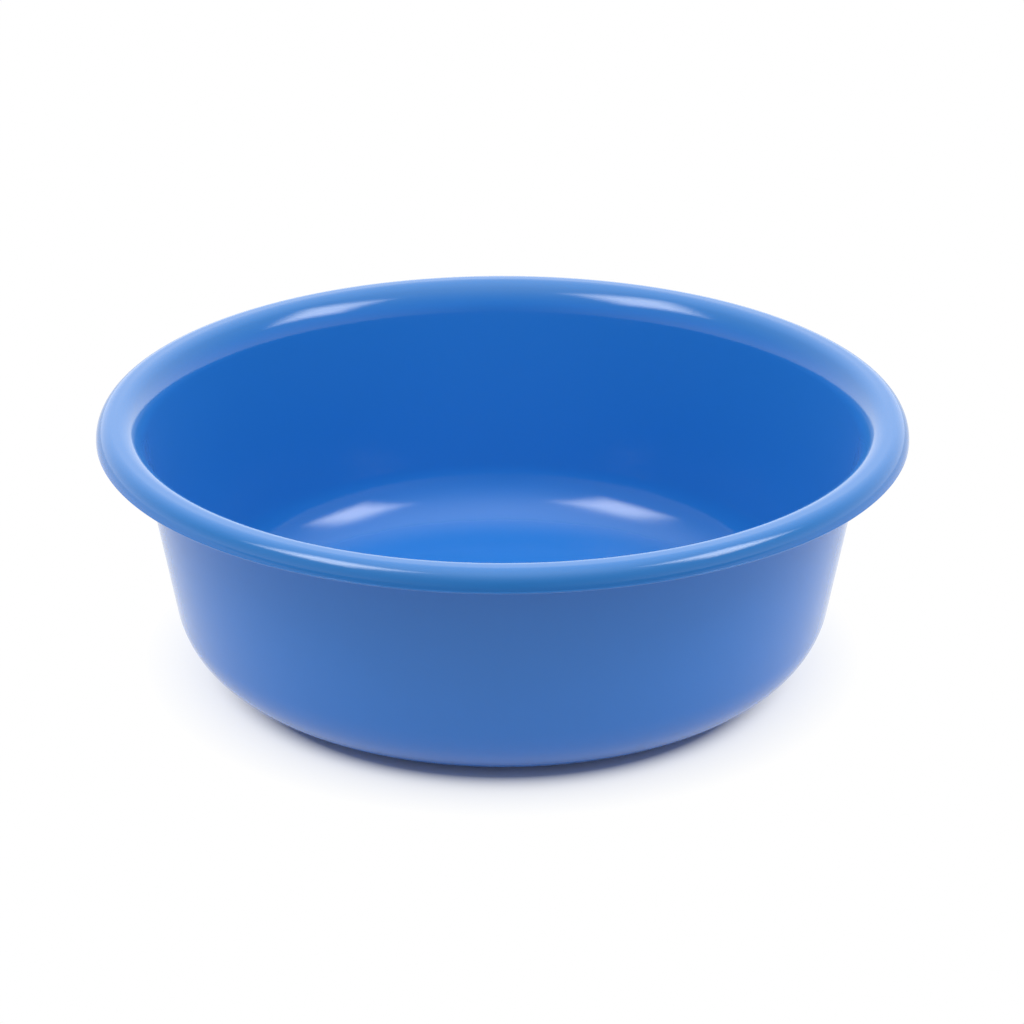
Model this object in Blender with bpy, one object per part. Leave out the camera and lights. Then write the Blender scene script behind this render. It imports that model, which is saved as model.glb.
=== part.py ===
"""Round plastic basin: one injection-moulded shell, turned about +Z and standing on its foot ring.

Lengths are in metres. The origin is on the axis of the basin, on the plane that its foot ring stands on.
"""
import math

import bmesh
import bpy

MM = 0.001

# Whole basin
RIM_DIAMETER = 360 * MM
HEIGHT = 118 * MM
WALL = 2 * MM                    # the same all over the shell, rim and base

# Rim, from its outside to the inside of the bowl
OUTER_ROLL_WIDTH = 7 * MM        # a quarter of an oval, which ends upright at the rounded lip
OUTER_ROLL_HEIGHT = 8 * MM
LAND_WIDTH = 2.5 * MM
INNER_ROLL = 9 * MM
INNER_ROLL_TURN = math.radians(42.5)
FLARE_RADIUS = 19 * MM           # eases the inner roll into the wall

# Bowl
WALL_DRAFT = math.radians(10)
UPPER_CORNER = 34 * MM
LOWER_CORNER = 50 * MM
LOWER_CORNER_TURN = math.radians(28)

# Base
FOOT_RING_WIDTH = 18 * MM
PANEL_LIFT = 1.2 * MM            # the middle of the base is clear of the ground by this much
PANEL_STEP = 2 * MM              # width over which the base steps up to that panel
GATE_DIAMETER = 9 * MM           # shallow dish under the middle, left by the mould's gate
GATE_DEPTH = 0.5 * MM

# Facets
SEGMENTS = 80                    # round the basin
ARC_STEP = math.radians(15)      # the most that one facet of a curve turns
LIP_STEP = math.radians(45)

# Finish
BLUE = (0.03, 0.14, 0.52, 1.0)
ROUGHNESS = 0.22


def oval_arc(center, width, height, start, end, step=ARC_STEP):
    """Points (r, z) on an oval with these half sizes; angles are measured from +r towards +z."""
    count = math.ceil(abs(end - start) / step)
    angles = [start + (end - start) * i / count for i in range(count + 1)]
    return [(center[0] + width * math.cos(a), center[1] + height * math.sin(a)) for a in angles]


def arc(center, radius, start, end, step=ARC_STEP):
    """Points (r, z) on a circle."""
    return oval_arc(center, radius, radius, start, end, step)


def neighbour_center(center, radius, new_radius, angle):
    """Centre of the arc that carries on from another one at this angle with a new radius."""
    shift = new_radius - radius
    return (center[0] - shift * math.cos(angle), center[1] - shift * math.sin(angle))


def rim_line(inset):
    """The rim's section from the wall up and over, set in from its visible face by a depth.

    A flare and a tighter roll turn the wall over into the flat land, and the oval outer roll turns it down.
    """
    land_outer = RIM_DIAMETER / 2 - OUTER_ROLL_WIDTH
    land_inner = land_outer - LAND_WIDTH
    roll_center = (land_inner, HEIGHT - INNER_ROLL)
    roll_start = math.pi / 2 + INNER_ROLL_TURN
    flare_center = neighbour_center(roll_center, INNER_ROLL, FLARE_RADIUS, roll_start)
    flare = arc(flare_center, FLARE_RADIUS - inset, math.pi - WALL_DRAFT, roll_start)
    inner = arc(roll_center, INNER_ROLL - inset, roll_start, math.pi / 2)
    outer_center = (land_outer, HEIGHT - OUTER_ROLL_HEIGHT)
    outer = oval_arc(outer_center, OUTER_ROLL_WIDTH - inset, OUTER_ROLL_HEIGHT - inset, math.pi / 2, 0)
    return flare + inner[1:] + outer


def lip_line():
    """The round lower edge of the outer roll, from its outside to its inside."""
    center = (RIM_DIAMETER / 2 - WALL / 2, HEIGHT - OUTER_ROLL_HEIGHT)
    return arc(center, WALL / 2, 0, -math.pi, LIP_STEP)


def wall_foot_radius():
    """Where the wall's outside, carried on straight down from the rim, meets the ground."""
    r, z = rim_line(WALL)[0]
    return r - z * math.tan(WALL_DRAFT)


def ring_outer_radius():
    """Where the lower corner runs out flat on the ground, which is the outside of the foot ring.

    Both corner arcs keep tangent to the wall above and to the ground below.
    """
    turn = math.pi / 2 - WALL_DRAFT
    turned = math.cos(LOWER_CORNER_TURN) - math.cos(turn)
    rise = LOWER_CORNER * (1 - math.cos(LOWER_CORNER_TURN)) + UPPER_CORNER * turned
    run = math.sin(turn) - math.sin(LOWER_CORNER_TURN)
    reach = LOWER_CORNER * math.sin(LOWER_CORNER_TURN) + UPPER_CORNER * run
    return wall_foot_radius() + rise * math.tan(WALL_DRAFT) - reach


def corner_line(inset):
    """The two corner arcs from the foot ring up to the wall, set in from the outside by a depth."""
    lower_center = (ring_outer_radius(), LOWER_CORNER)
    hand_over = LOWER_CORNER_TURN - math.pi / 2
    upper_center = neighbour_center(lower_center, LOWER_CORNER, UPPER_CORNER, hand_over)
    lower = arc(lower_center, LOWER_CORNER - inset, -math.pi / 2, hand_over)
    upper = arc(upper_center, UPPER_CORNER - inset, hand_over, -WALL_DRAFT)
    return lower + upper[1:]


def base_line(height):
    """The base from the raised panel out to the foot ring, at the height of the ring's own face."""
    ring_inner = ring_outer_radius() - FOOT_RING_WIDTH
    return [(ring_inner - PANEL_STEP, height + PANEL_LIFT), (ring_inner, height)]


def gate_line():
    """The dish that the mould's gate leaves under the panel, from its edge to the axis."""
    edge = GATE_DIAMETER / 2
    top = PANEL_LIFT + GATE_DEPTH
    return [(edge, PANEL_LIFT), (edge - GATE_DEPTH, top), (0, top)]


def section():
    """The closed section of the shell: along its inside, over the rim and back along its outside."""
    inside = [(0, PANEL_LIFT + WALL)] + base_line(WALL) + corner_line(WALL) + rim_line(0)
    outside = rim_line(WALL)[::-1] + corner_line(0)[::-1] + base_line(0)[::-1] + gate_line()
    return inside + lip_line() + outside


def spin_section(mesh, points):
    """Turns the section once round +Z; its two ends lie on the axis, so the shell closes there."""
    bm = bmesh.new()
    verts = [bm.verts.new((r, 0, z)) for r, z in points]
    edges = [bm.edges.new(pair) for pair in zip(verts, verts[1:])]
    bmesh.ops.spin(bm, geom=verts + edges, cent=(0, 0, 0), axis=(0, 0, 1), angle=2 * math.pi,
                   steps=SEGMENTS, use_merge=True)
    bmesh.ops.remove_doubles(bm, verts=bm.verts, dist=WALL / 1000)
    bmesh.ops.recalc_face_normals(bm, faces=bm.faces)
    bm.to_mesh(mesh)
    bm.free()


def gloss_blue():
    """The blue polypropylene of the whole basin."""
    material = bpy.data.materials.new("blue_polypropylene")
    material.use_nodes = True
    shader = material.node_tree.nodes["Principled BSDF"]
    shader.inputs["Base Color"].default_value = BLUE
    shader.inputs["Roughness"].default_value = ROUGHNESS
    return material


def basin_shell():
    """The basin, the one piece that the object has."""
    mesh = bpy.data.meshes.new("basin_shell")
    spin_section(mesh, section())
    mesh.shade_smooth()
    mesh.set_sharp_from_angle(angle=math.radians(35))
    mesh.materials.append(gloss_blue())
    shell = bpy.data.objects.new("basin_shell", mesh)
    bpy.context.collection.objects.link(shell)
    return shell


def main():
    for old in list(bpy.data.objects):
        bpy.data.objects.remove(old, do_unlink=True)
    basin_shell()


main()
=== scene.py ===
"""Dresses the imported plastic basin: a finely turned shell in gloss polypropylene, lit by two soft boxes.

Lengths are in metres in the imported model's own frame: +Z is up, the basin turns about Z and stands on z = 0.
"""
import logging
import math
from dataclasses import dataclass
from enum import Enum

import bpy
import numpy as np
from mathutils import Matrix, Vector


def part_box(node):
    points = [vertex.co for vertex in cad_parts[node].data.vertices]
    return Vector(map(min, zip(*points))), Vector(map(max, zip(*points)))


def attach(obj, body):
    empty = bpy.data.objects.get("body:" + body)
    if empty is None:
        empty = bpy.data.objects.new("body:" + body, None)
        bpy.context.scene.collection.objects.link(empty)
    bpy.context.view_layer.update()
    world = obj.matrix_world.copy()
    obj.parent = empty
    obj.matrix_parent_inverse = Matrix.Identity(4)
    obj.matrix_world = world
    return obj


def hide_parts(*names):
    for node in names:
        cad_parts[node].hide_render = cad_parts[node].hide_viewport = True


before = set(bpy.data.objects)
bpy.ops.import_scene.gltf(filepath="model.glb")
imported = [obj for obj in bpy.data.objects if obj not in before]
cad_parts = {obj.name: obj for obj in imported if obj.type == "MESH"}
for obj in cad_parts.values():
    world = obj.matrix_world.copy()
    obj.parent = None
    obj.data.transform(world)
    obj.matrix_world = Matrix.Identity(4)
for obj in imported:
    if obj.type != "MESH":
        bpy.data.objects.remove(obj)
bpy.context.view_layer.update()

log = logging.getLogger("basin")

MM = 0.001
SHELL_NODE = "basin_shell"
PHOTO_SIDE = 1024                 # pixels; the photograph is square
FLOOR_GAP = 0.1 * MM              # between the foot ring and the floor

Colour = tuple[float, float, float]
Socket = bpy.types.NodeSocket


class Face(Enum):
    """A face of the basin's wall."""

    UPPER = "the inside of the bowl, which runs on over the rim"
    LOWER = "the outside of the bowl, from under the base to under the rim"


def oval_arc(centre: tuple[float, float], width: float, height: float, start: float, end: float,
             step: float) -> np.ndarray:
    """Points on an oval in the section plane, as rows of radius and height.

    Each point is the centre plus the width times the cosine and the height times the sine of its angle,
    measured from the outward direction towards up.

    Args:
        centre: The oval's centre, as its radius from the axis and its height.
        width: Half the oval's size outwards.
        height: Half its size upwards.
        start: Angle of the first point, in radians.
        end: Angle of the last point, in radians.
        step: The most that two neighbouring points may be apart, in radians.

    Returns:
        An array of shape (points, 2).
    """
    angles = np.linspace(start, end, math.ceil(abs(end - start) / step) + 1)
    return np.stack([centre[0] + width * np.cos(angles), centre[1] + height * np.sin(angles)], axis=1)


def arc(centre: tuple[float, float], radius: float, start: float, end: float, step: float) -> np.ndarray:
    """Points on a circle, which is an oval as wide as it is high.

    Args:
        centre: The circle's centre, as its radius from the axis and its height.
        radius: The circle's own radius.
        start: Angle of the first point, in radians.
        end: Angle of the last point, in radians.
        step: The most that two neighbouring points may be apart, in radians.

    Returns:
        An array of shape (points, 2).
    """
    return oval_arc(centre, radius, radius, start, end, step)


def straight(start: np.ndarray, end: np.ndarray, step: float) -> np.ndarray:
    """Points along a straight line: the start plus equal shares of the way to the end.

    Args:
        start: First point, as radius and height.
        end: Last point.
        step: The most that two neighbouring points may be apart.

    Returns:
        The points strictly between the two ends, of shape (points, 2).
    """
    start, end = np.asarray(start), np.asarray(end)
    count = math.ceil(float(np.linalg.norm(end - start)) / step)
    share = np.linspace(0, 1, count + 1)[1:-1, None]
    return start + share * (end - start)


def eased_step(start: tuple[float, float], end: tuple[float, float], count: int) -> np.ndarray:
    """Points of a soft step between two levels: the height follows half a cosine wave.

    Args:
        start: First point, as radius and height.
        end: Last point.
        count: Number of points.

    Returns:
        An array of shape (count, 2).
    """
    share = np.linspace(0, 1, count)
    ease = (1 - np.cos(math.pi * share)) / 2
    return np.stack([start[0] + share * (end[0] - start[0]), start[1] + ease * (end[1] - start[1])], axis=1)


def tangent_centre(centre: tuple[float, float], radius: float, new_radius: float,
                   angle: float) -> tuple[float, float]:
    """Centre of the arc that carries on smoothly from another one with a new radius.

    The new centre lies on the line through the shared point, at this angle from the old centre.

    Args:
        centre: Centre of the arc that ends.
        radius: Its radius.
        new_radius: Radius of the arc that follows.
        angle: Angle of the shared point, in radians.

    Returns:
        The new centre, as radius and height.
    """
    shift = new_radius - radius
    return centre[0] - shift * math.cos(angle), centre[1] - shift * math.sin(angle)


def turned_mesh(name: str, section: np.ndarray, segments: int) -> bpy.types.Mesh:
    """Turns a section about Z into one closed mesh.

    Vertex (i, j) is (r cos a, r sin a, z), where (r, z) is point i of the section and a is j equal turns.
    The section's two ends lie on the axis and become one vertex each, so both poles are closed by a fan.

    Args:
        name: Name of the mesh.
        section: Points (r, z) from the axis on the inside, over the rim, to the axis on the outside.
        segments: Number of equal turns.

    Returns:
        The mesh, with its faces outwards.
    """
    ring = section[1:-1]
    turn = np.linspace(0, 2 * math.pi, segments, endpoint=False)
    around = np.stack([np.cos(turn), np.sin(turn)], axis=1)
    flat = ring[:, None, :1] * around[None]
    height = np.broadcast_to(ring[:, None, 1:], (len(ring), segments, 1))
    body = np.concatenate([flat, height], axis=2).reshape(-1, 3)
    poles = np.array([[0, 0, section[0, 1]], [0, 0, section[-1, 1]]])
    inner_pole, outer_pole = len(body), len(body) + 1

    here = np.arange(segments)
    after = (here + 1) % segments
    row = np.arange(len(ring) - 1)[:, None] * segments
    quads = np.stack([row + here, row + after, row + segments + after, row + segments + here], axis=2)
    last = (len(ring) - 1) * segments
    inner_fan = np.stack([np.full(segments, inner_pole), after, here], axis=1)
    outer_fan = np.stack([np.full(segments, outer_pole), last + here, last + after], axis=1)

    mesh = bpy.data.meshes.new(name)
    parts = (quads.reshape(-1, 4), inner_fan, outer_fan)
    body_faces, inner_faces, outer_faces = (part[:, ::-1].tolist() for part in parts)
    faces = body_faces + inner_faces + outer_faces
    mesh.from_pydata(np.concatenate([body, poles]).tolist(), [], faces)
    mesh.polygons.foreach_set("use_smooth", np.ones(len(mesh.polygons), bool))
    mesh.update()
    return mesh


@dataclass(frozen=True)
class Graph:
    """Short forms for the nodes of one tree: each method adds nodes and gives their output."""

    tree: bpy.types.NodeTree

    def maths(self, operation: str, *values: float | Socket) -> Socket:
        """Adds a maths node.

        Args:
            operation: Blender's name of the operation.
            values: Its inputs, as numbers or as sockets to link.

        Returns:
            The node's result.
        """
        node = self.tree.nodes.new("ShaderNodeMath")
        node.operation = operation
        for socket, value in zip(node.inputs, values):
            if isinstance(value, Socket):
                self.tree.links.new(value, socket)
            else:
                socket.default_value = value
        return node.outputs["Value"]

    def axes(self, place: Socket) -> tuple[Socket, ...]:
        """Splits a place or a direction.

        Args:
            place: What to split.

        Returns:
            Its X, Y and Z.
        """
        node = self.tree.nodes.new("ShaderNodeSeparateXYZ")
        self.tree.links.new(place, node.inputs["Vector"])
        return tuple(node.outputs[axis] for axis in "XYZ")

    def distance(self, place: Socket, ahead: float = 0.0) -> Socket:
        """Measures how far a place is from a middle on the Y axis.

        Args:
            place: Coordinates of the place.
            ahead: How far that middle lies in front of the origin, towards -Y.

        Returns:
            The distance.
        """
        node = self.tree.nodes.new("ShaderNodeVectorMath")
        node.operation = "DISTANCE"
        node.inputs[1].default_value = (0, -ahead, 0)
        self.tree.links.new(place, node.inputs[0])
        return node.outputs["Value"]

    def noise(self, place: Socket, scale: float, detail: float) -> Socket:
        """Adds a noise pattern.

        Args:
            place: Coordinates that it reads.
            scale: Patches per metre.
            detail: Number of finer layers on top.

        Returns:
            The pattern, from 0 to 1.
        """
        node = self.tree.nodes.new("ShaderNodeTexNoise")
        node.inputs["Scale"].default_value = scale
        node.inputs["Detail"].default_value = detail
        self.tree.links.new(place, node.inputs["Vector"])
        return node.outputs["Fac"]

    def blend(self, share: Socket, first: Colour | Socket, second: Colour | Socket) -> Socket:
        """Adds a blend of two colours.

        Args:
            share: The second colour's share.
            first: A colour or a socket to link.
            second: Another.

        Returns:
            The blended colour.
        """
        node = self.tree.nodes.new("ShaderNodeMix")
        node.data_type = "RGBA"
        for name, colour in (("A", first), ("B", second)):
            if isinstance(colour, Socket):
                self.tree.links.new(colour, node.inputs[name])
            else:
                node.inputs[name].default_value = (*colour, 1)
        self.tree.links.new(share, node.inputs["Factor"])
        return node.outputs["Result"]

    def bump(self, height: Socket, depth: float, normal: Socket | None = None) -> Socket:
        """Adds a bump.

        Args:
            height: Pattern of the relief, from 0 to 1.
            depth: The relief's full height, in metres.
            normal: Normal of a coarser relief underneath, if there is one.

        Returns:
            The bumped normal.
        """
        node = self.tree.nodes.new("ShaderNodeBump")
        node.inputs["Distance"].default_value = depth
        self.tree.links.new(height, node.inputs["Height"])
        if normal is not None:
            self.tree.links.new(normal, node.inputs["Normal"])
        return node.outputs["Normal"]

    def ramp(self, value: Socket, low: float, high: float, at_low: float = 0.0,
             at_high: float = 1.0) -> Socket:
        """Adds a straight ramp that keeps its end values outside its range.

        Args:
            value: What the ramp reads.
            low: Where the ramp starts.
            high: Where it ends.
            at_low: Its value at the start.
            at_high: Its value at the end.

        Returns:
            The node's result.
        """
        node = self.tree.nodes.new("ShaderNodeMapRange")
        limits = {"From Min": low, "From Max": high, "To Min": at_low, "To Max": at_high}
        for name, limit in limits.items():
            node.inputs[name].default_value = limit
        self.tree.links.new(value, node.inputs["Value"])
        return node.outputs["Result"]


@dataclass(frozen=True)
class GlossPolypropylene:
    """Finish of the whole basin: through-dyed gloss polypropylene, dulled where it is used most, with a
    painted shade of deeper blue over the rim.

    Patterns read Object coordinates, whose height and distance from the axis tell the basin's places apart.
    """

    height: float                            # of the basin
    name: str = "blue_gloss_polypropylene"
    bowl_blue: Colour = (0.016, 0.166, 0.520)
    # painted shade: the rim is a deeper blue than the bowl, to darken its brightly lit top
    rim_blue_painted_shade: Colour = (0.016, 0.146, 0.425)
    rim_shade_depth: float = 9 * MM                # the rim's painted shade of deeper blue starts this far under the top
    rim_shade_blend: float = 6 * MM
    cloud_scale: float = 9.0                 # faint clouds of pigment
    cloud_detail: float = 3.0
    cloud_strength: float = 0.03
    refraction: float = 1.49
    haze: float = 0.03                       # sheen of the handled skin
    haze_roughness: float = 0.5
    gloss: float = 0.11                      # roughness of the walls and the rim
    worn_gloss: float = 0.30                 # roughness of the bowl's floor
    worn_level: float = 6 * MM               # where the floor's wear starts to give way to gloss
    gloss_level: float = 16 * MM
    grain_scale: float = 60.0
    grain_detail: float = 4.0
    grain_strength: float = 0.03
    peel_scale: float = 250.0                # faint waviness of the moulded skin
    peel_detail: float = 2.0
    peel_depth: float = 0.02 * MM
    scuffed_blue: Colour = (0.06, 0.22, 0.50)
    scuff_level: float = 0.8 * MM            # scuffs lie on the foot ring's underside, up to this height
    scuff_scale: float = 420.0
    scuff_detail: float = 6.0
    scuff_start: float = 0.50                # noise at which scuffs start, and at which they are full
    scuff_full: float = 0.65
    scuff_gloss: float = 0.5
    ring_pitch: float = 1.6 * MM             # tool marks under the base's panel
    ring_depth: float = 0.006 * MM
    ring_level: float = 1.95 * MM            # above the underside of the panel, under the bowl's floor
    ring_fade: float = 1.75 * MM

    def scuffs(self, graph: Graph, place: Socket, level: Socket) -> Socket:
        """Where the basin has slid on the ground: a fine noise on what lies lowest.

        Args:
            graph: The material's nodes.
            place: Object coordinates.
            level: Height above the ground.

        Returns:
            The share of scuffed surface.
        """
        noise = graph.noise(place, self.scuff_scale, self.scuff_detail)
        patches = graph.ramp(noise, self.scuff_start, self.scuff_full)
        low = graph.ramp(level, 0.0, self.scuff_level, 1.0, 0.0)
        return graph.maths("MULTIPLY", patches, low)

    def colour(self, graph: Graph, place: Socket, level: Socket, scuffs: Socket) -> Socket:
        """The bowl's blue, a deeper blue over the rim as painted shade, under pigment clouds and paler scuffs.

        Args:
            graph: The material's nodes.
            place: Object coordinates.
            level: Height above the ground.
            scuffs: The share of scuffed surface.

        Returns:
            The base colour.
        """
        # painted shade: the rim's deeper blue darkens its brightly lit top
        rim_shade_start = self.height - self.rim_shade_depth
        rim = graph.ramp(level, rim_shade_start, rim_shade_start + self.rim_shade_blend)
        clouds = graph.noise(place, self.cloud_scale, self.cloud_detail)
        clean = self.clouded(graph, graph.blend(rim, self.bowl_blue, self.rim_blue_painted_shade), clouds)
        return graph.blend(scuffs, clean, self.scuffed_blue)

    def clouded(self, graph: Graph, colour: Socket, clouds: Socket) -> Socket:
        """A colour made lighter or darker by the clouds' strength at most.

        Args:
            graph: The material's nodes.
            colour: The even colour.
            clouds: A pattern from 0 to 1.

        Returns:
            The clouded colour.
        """
        node = graph.tree.nodes.new("ShaderNodeHueSaturation")
        light = graph.ramp(clouds, 0.0, 1.0, 1 - self.cloud_strength, 1 + self.cloud_strength)
        graph.tree.links.new(light, node.inputs["Value"])
        graph.tree.links.new(colour, node.inputs["Color"])
        return node.outputs["Color"]

    def roughness(self, graph: Graph, place: Socket, level: Socket, scuffs: Socket) -> Socket:
        """Gloss on the walls and the rim, duller on the bowl's floor and in the scuffs, with a fine grain.

        Args:
            graph: The material's nodes.
            place: Object coordinates.
            level: Height above the ground.
            scuffs: The share of scuffed surface.

        Returns:
            The roughness.
        """
        worn = graph.ramp(level, self.worn_level, self.gloss_level, self.worn_gloss, self.gloss)
        grain = graph.noise(place, self.grain_scale, self.grain_detail)
        grain = graph.maths("MULTIPLY_ADD", grain, self.grain_strength, -self.grain_strength / 2)
        uneven = graph.maths("ADD", worn, grain)
        return graph.maths("MULTIPLY_ADD", scuffs, self.scuff_gloss - self.worn_gloss, uneven)

    def tool_marks(self, graph: Graph, reach: Socket, level: Socket) -> Socket:
        """Rings left by turning the mould: a sine wave of the distance from the axis, under the base only.

        Args:
            graph: The material's nodes.
            reach: Distance from the axis.
            level: Height above the ground.

        Returns:
            The rings' relief, from 0 to 1.
        """
        turns = graph.maths("SINE", graph.maths("MULTIPLY", reach, 2 * math.pi / self.ring_pitch))
        under = graph.ramp(level, self.ring_fade, self.ring_level, 1.0, 0.0)
        return graph.maths("MULTIPLY", graph.ramp(turns, -1.0, 1.0), under)

    def relief(self, graph: Graph, place: Socket, reach: Socket, level: Socket) -> Socket:
        """The waviness of the moulded skin, with the tool marks on top.

        Args:
            graph: The material's nodes.
            place: Object coordinates.
            reach: Distance from the axis.
            level: Height above the ground.

        Returns:
            The bumped normal.
        """
        peel = graph.bump(graph.noise(place, self.peel_scale, self.peel_detail), self.peel_depth)
        return graph.bump(self.tool_marks(graph, reach, level), self.ring_depth, peel)

    def material(self) -> bpy.types.Material:
        """Builds the node material.

        Returns:
            The finish of the whole shell.
        """
        material = bpy.data.materials.new(self.name)
        material.use_nodes = True
        tree = material.node_tree
        graph = Graph(tree)
        shader = tree.nodes["Principled BSDF"]
        shader.inputs["IOR"].default_value = self.refraction
        shader.inputs["Sheen Weight"].default_value = self.haze
        shader.inputs["Sheen Roughness"].default_value = self.haze_roughness
        place = tree.nodes.new("ShaderNodeTexCoord").outputs["Object"]
        aside, behind, level = graph.axes(place)
        squares = graph.maths("MULTIPLY_ADD", aside, aside, graph.maths("MULTIPLY", behind, behind))
        reach = graph.maths("SQRT", squares)
        scuffs = self.scuffs(graph, place, level)
        tree.links.new(self.colour(graph, place, level, scuffs), shader.inputs["Base Color"])
        tree.links.new(self.roughness(graph, place, level, scuffs), shader.inputs["Roughness"])
        tree.links.new(self.relief(graph, place, reach, level), shader.inputs["Normal"])
        return material


@dataclass(frozen=True)
class BasinShell:
    """The basin's one piece: bowl, rolled rim, rounded corner and foot ring, in a wall of even thickness."""

    rim_radius: float
    height: float
    wall: float = 2 * MM
    outer_roll_width: float = 7 * MM
    outer_roll_height: float = 8 * MM
    land_width: float = 2.5 * MM
    inner_roll: float = 9 * MM
    inner_roll_turn: float = math.radians(42.5)
    flare_radius: float = 19 * MM
    wall_draft: float = math.radians(10)
    upper_corner: float = 34 * MM
    lower_corner: float = 50 * MM
    lower_corner_turn: float = math.radians(28)
    foot_ring_width: float = 18 * MM
    panel_lift: float = 1.2 * MM
    panel_step: float = 2 * MM
    gate_radius: float = 4.5 * MM
    gate_depth: float = 0.5 * MM
    segments: int = 360
    fine_turn: float = math.radians(3)       # facets of the curves that show
    plain_turn: float = math.radians(6)      # facets of the curves underneath
    lip_turn: float = math.radians(15)       # facets of the lip
    run_step: float = 3 * MM                 # facets of the wall and the foot ring
    land_step: float = 1 * MM
    base_step: float = 12 * MM
    panel_points: int = 9                    # points of the panel's soft step
    gate_points: int = 7                     # points of the gate's dish

    def rim_line(self, face: Face) -> np.ndarray:
        """The rim's section from the wall up and over.

        Args:
            face: Which face to follow.

        Returns:
            Points (r, z) along a flare, a tighter roll, the flat land and the oval outer roll.
        """
        inset, turn = (0.0, self.fine_turn) if face is Face.UPPER else (self.wall, self.plain_turn)
        land_outer = self.rim_radius - self.outer_roll_width
        land_inner = land_outer - self.land_width
        roll_centre = (land_inner, self.height - self.inner_roll)
        roll_start = math.pi / 2 + self.inner_roll_turn
        flare_centre = tangent_centre(roll_centre, self.inner_roll, self.flare_radius, roll_start)
        flare = arc(flare_centre, self.flare_radius - inset, math.pi - self.wall_draft, roll_start, turn)
        inner = arc(roll_centre, self.inner_roll - inset, roll_start, math.pi / 2, turn)
        outer_centre = (land_outer, self.height - self.outer_roll_height)
        outer = oval_arc(outer_centre, self.outer_roll_width - inset, self.outer_roll_height - inset,
                         math.pi / 2, 0, turn)
        land = straight(inner[-1], outer[0], self.land_step)
        return np.concatenate([flare, inner[1:], land, outer])

    def lip_line(self) -> np.ndarray:
        """The round lower edge of the outer roll, from its outside to its inside."""
        centre = (self.rim_radius - self.wall / 2, self.height - self.outer_roll_height)
        return arc(centre, self.wall / 2, 0, -math.pi, self.lip_turn)

    def ring_outer_radius(self) -> float:
        """Outside of the foot ring, where the lower corner runs out flat on the ground.

        Returns:
            The radius from which both corner arcs run up tangent to the wall's outside.
        """
        wall_r, wall_z = self.rim_line(Face.LOWER)[0]
        foot = wall_r - wall_z * math.tan(self.wall_draft)
        turn = math.pi / 2 - self.wall_draft
        turned = math.cos(self.lower_corner_turn) - math.cos(turn)
        rise = self.lower_corner * (1 - math.cos(self.lower_corner_turn)) + self.upper_corner * turned
        run = math.sin(turn) - math.sin(self.lower_corner_turn)
        reach = self.lower_corner * math.sin(self.lower_corner_turn) + self.upper_corner * run
        return foot + rise * math.tan(self.wall_draft) - reach

    def corner_line(self, face: Face) -> np.ndarray:
        """The two corner arcs from the foot ring up to the wall.

        Args:
            face: Which face to follow.

        Returns:
            Points (r, z) from the foot ring to the foot of the straight wall.
        """
        inset = self.wall if face is Face.UPPER else 0.0
        lower_centre = (self.ring_outer_radius(), self.lower_corner)
        hand_over = self.lower_corner_turn - math.pi / 2
        upper_centre = tangent_centre(lower_centre, self.lower_corner, self.upper_corner, hand_over)
        lower = arc(lower_centre, self.lower_corner - inset, -math.pi / 2, hand_over, self.fine_turn)
        upper = arc(upper_centre, self.upper_corner - inset, hand_over, -self.wall_draft, self.fine_turn)
        return np.concatenate([lower, upper[1:]])

    def base_line(self, face: Face) -> np.ndarray:
        """The base from the raised panel's edge down its soft step to the foot ring.

        Args:
            face: Which face to follow.

        Returns:
            Points (r, z), running outwards.
        """
        level = self.wall if face is Face.UPPER else 0.0
        ring_inner = self.ring_outer_radius() - self.foot_ring_width
        panel_edge = (ring_inner - self.panel_step, level + self.panel_lift)
        return eased_step(panel_edge, (ring_inner, level), self.panel_points)

    def gate_line(self) -> np.ndarray:
        """The shallow dish that the mould's gate leaves under the panel.

        Returns:
            Points (r, z) from the dish's edge to the axis.
        """
        top = self.panel_lift + self.gate_depth
        side = eased_step((self.gate_radius, self.panel_lift), (self.gate_radius / 2, top), self.gate_points)
        return np.concatenate([side, [[0, top]]])

    def section(self) -> np.ndarray:
        """The closed section of the shell, from the axis along its inside and back along its outside.

        Returns:
            Points (r, z); the first and the last lie on the axis.
        """
        base, under_base = self.base_line(Face.UPPER), self.base_line(Face.LOWER)[::-1]
        corner, outer_corner = self.corner_line(Face.UPPER), self.corner_line(Face.LOWER)[::-1]
        rim, under_rim = self.rim_line(Face.UPPER), self.rim_line(Face.LOWER)[::-1]
        gate = self.gate_line()
        middle = np.array([[0, self.panel_lift + self.wall]])
        return np.concatenate([
            middle, straight(middle[0], base[0], self.base_step), base,
            straight(base[-1], corner[0], self.run_step), corner,
            straight(corner[-1], rim[0], self.run_step), rim,
            self.lip_line(), under_rim,
            straight(under_rim[-1], outer_corner[0], self.run_step), outer_corner,
            straight(outer_corner[-1], under_base[0], self.run_step), under_base,
            straight(under_base[-1], gate[0], self.base_step), gate,
        ])

    def build(self) -> bpy.types.Object:
        """Makes the shell, dresses it and puts it in the CAD node's place.

        Returns:
            The new object, at the origin.
        """
        mesh = turned_mesh("basin_turned_shell", self.section(), self.segments)
        mesh.materials.append(GlossPolypropylene(self.height).material())
        shell = bpy.data.objects.new("basin_turned_shell", mesh)
        bpy.context.collection.objects.link(shell)
        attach(shell, "root")
        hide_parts(SHELL_NODE)
        return shell


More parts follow.
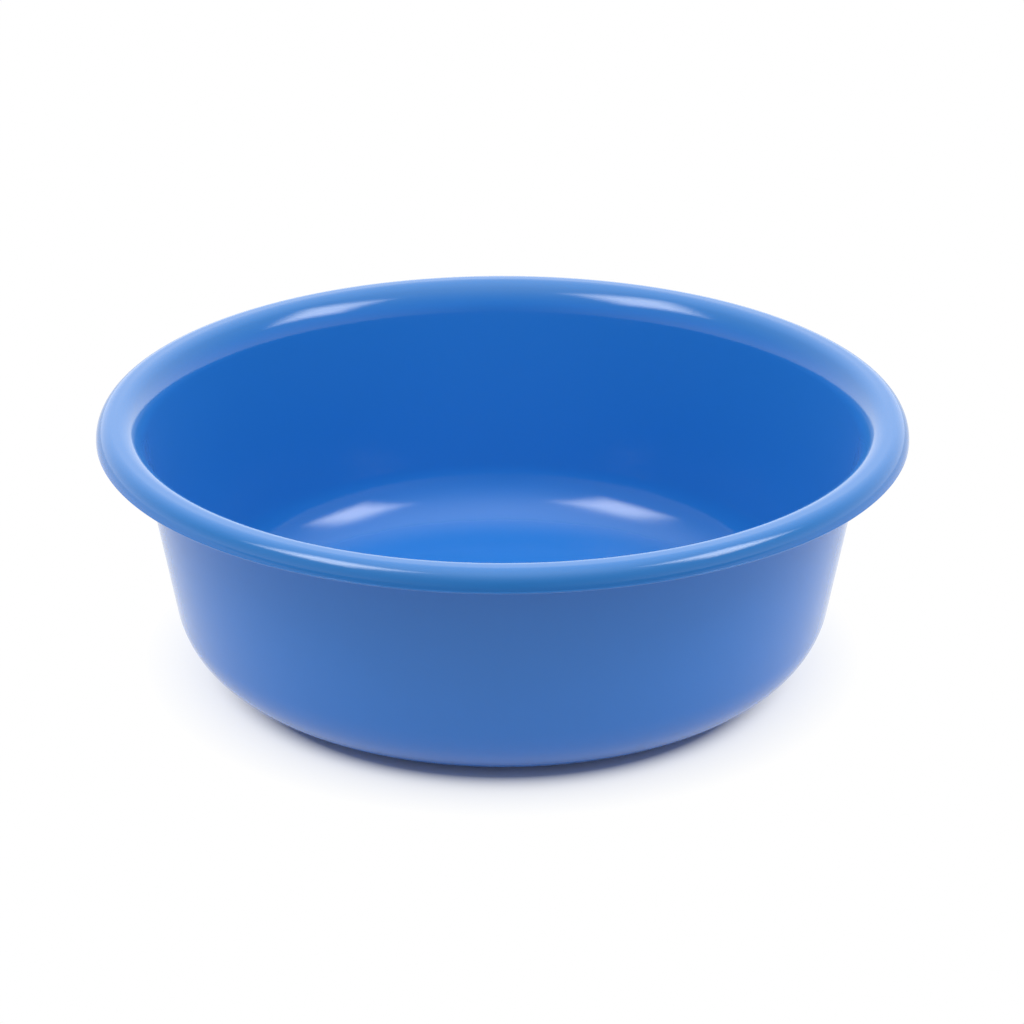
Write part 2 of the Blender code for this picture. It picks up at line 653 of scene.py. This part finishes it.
@dataclass(frozen=True)
class Panel:
    """A flat rectangular lamp that faces the basin's middle."""

    name: str
    turn: float                              # degrees round from straight in front, towards +X
    rise: float                              # degrees above the floor
    distance: float
    width: float
    height: float
    radiance: float                          # where 1 is white

    def place(self) -> Vector:
        """Centre of the panel, seen from the basin's middle at its turn and rise."""
        turn, rise = math.radians(self.turn), math.radians(self.rise)
        flat = self.distance * math.cos(rise)
        return Vector((flat * math.sin(turn), -flat * math.cos(turn), self.distance * math.sin(rise)))

    def build(self) -> bpy.types.Object:
        """Makes the lamp.

        Returns:
            An area lamp that looks equally bright from every side.
        """
        light = bpy.data.lights.new(self.name, "AREA")
        light.shape = "RECTANGLE"
        light.size = self.width
        light.size_y = self.height
        light.energy = self.radiance * math.pi * self.width * self.height
        lamp = bpy.data.objects.new(self.name, light)
        lamp.location = self.place()
        lamp.rotation_euler = (-self.place()).to_track_quat("-Z", "Y").to_euler()
        bpy.context.collection.objects.link(lamp)
        return lamp


@dataclass(frozen=True)
class SoftBox:
    """A soft box: nested panels, so that its light falls off from the middle to the edge.

    Each step is one panel, given as its share of the box's size and the radiance that it adds.
    """

    name: str
    turn: float                              # degrees round from straight in front, towards +X
    rise: float                              # degrees above the floor
    width: float
    height: float
    distance: float = 1.57                   # of the largest panel
    spacing: float = 0.01                    # from one panel to the next
    steps: tuple[tuple[float, float], ...] = ((1.0, 1.5), (0.84, 2.2), (0.66, 2.5), (0.46, 2.4))

    def build(self) -> None:
        """Makes one panel for each step, the smallest one nearest to the basin."""
        for number, (share, radiance) in enumerate(self.steps):
            near = self.distance - number * self.spacing
            width, height = share * self.width, share * self.height
            Panel(f"{self.name}_{number}", self.turn, self.rise, near, width, height, radiance).build()


@dataclass(frozen=True)
class Term:
    """One part of the room's light: a strength times a power of the direction's share along some axis."""

    strength: float
    power: float

    def light(self, graph: Graph, share: Socket) -> Socket:
        """Adds this part to the world's nodes.

        Args:
            graph: The world's nodes.
            share: The direction's share along the axis, from 0 to 1.

        Returns:
            The light from that direction.
        """
        return graph.maths("MULTIPLY", graph.maths("POWER", share, self.power), self.strength)


@dataclass(frozen=True)
class Studio:
    """White sheet in a dim room with a bright ceiling, a pale wall behind and two soft boxes."""

    floor_level: float
    floor_reach: float = 8.0
    # bluish floor paint: painted blue light bounced from the basin, which shows in its shadow and tints the
    # floor's bounce
    floor_paint_blue_bounce: Colour = (0.72, 0.78, 0.91)
    floor_grey: float = 0.3
    sheet_fade: float = 0.34                 # how far in front the white sheet starts to fade
    sheet_end: float = 0.50
    dim_start: float = 0.20                  # how far in front the floor throws up less light
    dim_end: float = 0.36
    shadow_ahead: float = 0.011              # middle of the painted shadow round the basin, in front of the axis
    shadow_edge: float = 0.1164              # from that middle
    shadow_end: float = 0.1364
    shadow_power: float = 3.0
    faint_shadow_edge: float = 0.115                 # the wide faint painted shadow round it, from the axis
    faint_shadow_end: float = 0.163
    faint_shadow_white: float = 0.42                 # what that painted shadow leaves at its edge
    room: float = 0.23                       # light from every direction
    ceiling: Term = Term(1.75, 4.0)
    wall: Term = Term(1.55, 1.5)
    sides: Term = Term(1.1, 2.0)
    corners: Term = Term(0.4, 1.0)
    left_box: SoftBox = SoftBox("left_box", turn=-65, rise=57, width=0.86, height=0.72)
    right_box: SoftBox = SoftBox("right_box", turn=77, rise=50, width=0.80, height=0.68)

    def painted_shadow(self, graph: Graph, place: Socket) -> Socket:
        """How much of the floor's white a painted shadow round the basin leaves.

        The painted shadow is drawn by distance from a middle just in front of the axis. Its share is a power
        of what is left of the way from its edge to its end, and a wide faint painted shadow, drawn by distance
        from the axis, lies round it. Where the floor is not white, the floor lit by the lamps shows, with the
        basin's real shadow.

        Args:
            graph: The floor's nodes.
            place: Object coordinates.

        Returns:
            The share of white, from 0 to 1.
        """
        # painted shadow: drawn by distance from the axis, not cast by the lamps
        reach = graph.distance(place, self.shadow_ahead)
        left = graph.ramp(reach, self.shadow_edge, self.shadow_end, 1.0, 0.0)
        clear = graph.maths("SUBTRACT", 1.0, graph.maths("POWER", left, self.shadow_power))
        faint_shadow = graph.ramp(graph.distance(place), self.faint_shadow_edge, self.faint_shadow_end, self.faint_shadow_white, 1.0)
        return graph.maths("MULTIPLY", clear, faint_shadow)

    def floor_material(self) -> bpy.types.Material:
        """Pale floor: the camera and reflections see it pure white but for a painted shadow round the basin,
        where the floor lit by the lamps shows through.

        Reflections see the white sheet end in front of the basin, where it fades to the grey of the room's
        floor. There it throws up less light as well.

        Returns:
            The floor's material.
        """
        material = bpy.data.materials.new("white_floor")
        material.use_nodes = True
        tree = material.node_tree
        graph = Graph(tree)
        tree.nodes.remove(tree.nodes["Principled BSDF"])
        place = tree.nodes.new("ShaderNodeTexCoord").outputs["Object"]
        path = tree.nodes.new("ShaderNodeLightPath").outputs
        camera = path["Is Camera Ray"]
        mirrored = graph.maths("MAXIMUM", path["Is Glossy Ray"], path["Is Transmission Ray"])
        seen = graph.maths("MAXIMUM", camera, mirrored)
        depth = graph.axes(place)[1]

        near = graph.ramp(depth, -self.dim_end, -self.dim_start)
        paint = tree.nodes.new("ShaderNodeBsdfDiffuse")
        # the floor's bluish paint is painted blue bounce light from the basin
        tone = graph.blend(near, (self.floor_grey,) * 3, self.floor_paint_blue_bounce)
        tree.links.new(tone, paint.inputs["Color"])
        sheet = graph.ramp(depth, -self.sheet_end, -self.sheet_fade, self.floor_grey, 1.0)
        glow = tree.nodes.new("ShaderNodeEmission")
        tree.links.new(graph.maths("MAXIMUM", sheet, camera), glow.inputs["Strength"])
        mix = tree.nodes.new("ShaderNodeMixShader")
        # the painted shadow lets the lamp-lit floor, with its real shadow, show round the basin
        tree.links.new(graph.maths("MULTIPLY", self.painted_shadow(graph, place), seen), mix.inputs["Fac"])
        tree.links.new(paint.outputs["BSDF"], mix.inputs[1])
        tree.links.new(glow.outputs["Emission"], mix.inputs[2])
        tree.links.new(mix.outputs["Shader"], tree.nodes["Material Output"].inputs["Surface"])
        return material

    def floor(self) -> bpy.types.Object:
        """Makes the floor, a square just under the foot ring.

        Returns:
            The floor.
        """
        reach = self.floor_reach
        corners = [(-reach, -reach, 0), (reach, -reach, 0), (reach, reach, 0), (-reach, reach, 0)]
        mesh = bpy.data.meshes.new("floor")
        mesh.from_pydata(corners, [], [(0, 1, 2, 3)])
        mesh.materials.append(self.floor_material())
        plane = bpy.data.objects.new("floor", mesh)
        plane.location.z = self.floor_level
        bpy.context.collection.objects.link(plane)
        return plane

    def surroundings(self) -> None:
        """Sets the world: an even room, a ceiling above, a wall behind (+Y) and pale sides low down.

        The sides grow with the square of the direction's share aside, and the corners in front with its
        share aside times its share ahead. The camera sees the world white, as it sees the floor.
        """
        world = bpy.data.worlds.new("room")
        world.use_nodes = True
        bpy.context.scene.world = world
        tree = world.node_tree
        graph = Graph(tree)
        aside, behind, above = graph.axes(tree.nodes.new("ShaderNodeTexCoord").outputs["Generated"])
        above = graph.maths("MAXIMUM", above, 0.0)
        low = graph.maths("SUBTRACT", 1.0, above)
        ahead = graph.maths("MAXIMUM", graph.maths("MULTIPLY", behind, -1.0), 0.0)
        across = graph.maths("MULTIPLY", aside, aside)
        diagonal = graph.maths("MULTIPLY", graph.maths("ABSOLUTE", aside), ahead)
        parts = (
            self.wall.light(graph, graph.maths("MAXIMUM", behind, 0.0)),
            graph.maths("MULTIPLY", across, self.sides.light(graph, low)),
            graph.maths("MULTIPLY", diagonal, self.corners.light(graph, low)),
        )
        total = graph.maths("ADD", self.ceiling.light(graph, above), self.room)
        for part in parts:
            total = graph.maths("ADD", total, part)
        camera = tree.nodes.new("ShaderNodeLightPath").outputs["Is Camera Ray"]
        background = tree.nodes["Background"]
        background.inputs["Color"].default_value = (1, 1, 1, 1)
        tree.links.new(graph.maths("MAXIMUM", total, camera), background.inputs["Strength"])

    def build(self) -> None:
        """Makes the floor, the surroundings and the lamps."""
        self.floor()
        self.surroundings()
        self.left_box.build()
        self.right_box.build()


@dataclass(frozen=True)
class PhotoCamera:
    """The camera that took the photograph, worked out from the basin's outlines in it."""

    focal_pixels: float = 3400.0
    distance: float = 1.4047                 # from the basin's axis, level
    above_rim: float = 0.5577
    pitch: float = 0.4089                    # radians below level
    axis_pixel: float = 502.6                # column of the basin's axis in the photograph
    sensor: float = 36.0                     # millimetres
    near_clip: float = 0.05
    far_clip: float = 50.0

    def build(self, rim_height: float) -> bpy.types.Object:
        """Makes the camera and gives it to the scene.

        Args:
            rim_height: Height of the top of the rim.

        Returns:
            The camera.
        """
        data = bpy.data.cameras.new("photo_camera")
        data.sensor_width = self.sensor
        data.lens = self.focal_pixels / PHOTO_SIDE * self.sensor
        data.shift_x = (PHOTO_SIDE / 2 - self.axis_pixel) / PHOTO_SIDE
        data.clip_start = self.near_clip
        data.clip_end = self.far_clip
        camera = bpy.data.objects.new("photo_camera", data)
        camera.location = (0, -self.distance, rim_height + self.above_rim)
        camera.rotation_euler = (math.pi / 2 - self.pitch, 0, 0)
        bpy.context.collection.objects.link(camera)
        bpy.context.scene.camera = camera
        return camera


def main() -> None:
    """Builds the basin, the studio and the camera, and reports the basin's shell."""
    logging.basicConfig(level=logging.INFO, format="%(name)s: %(message)s")
    bpy.context.scene.view_settings.view_transform = "Standard"
    low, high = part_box(SHELL_NODE)
    shell = BasinShell(rim_radius=(high.x - low.x) / 2, height=high.z)
    piece = shell.build()
    log.info("%s: %d faces, stands for %s", piece.name, len(piece.data.polygons), SHELL_NODE)
    Studio(floor_level=low.z - FLOOR_GAP).build()
    PhotoCamera().build(high.z)


if __name__ == "__main__":
    main()
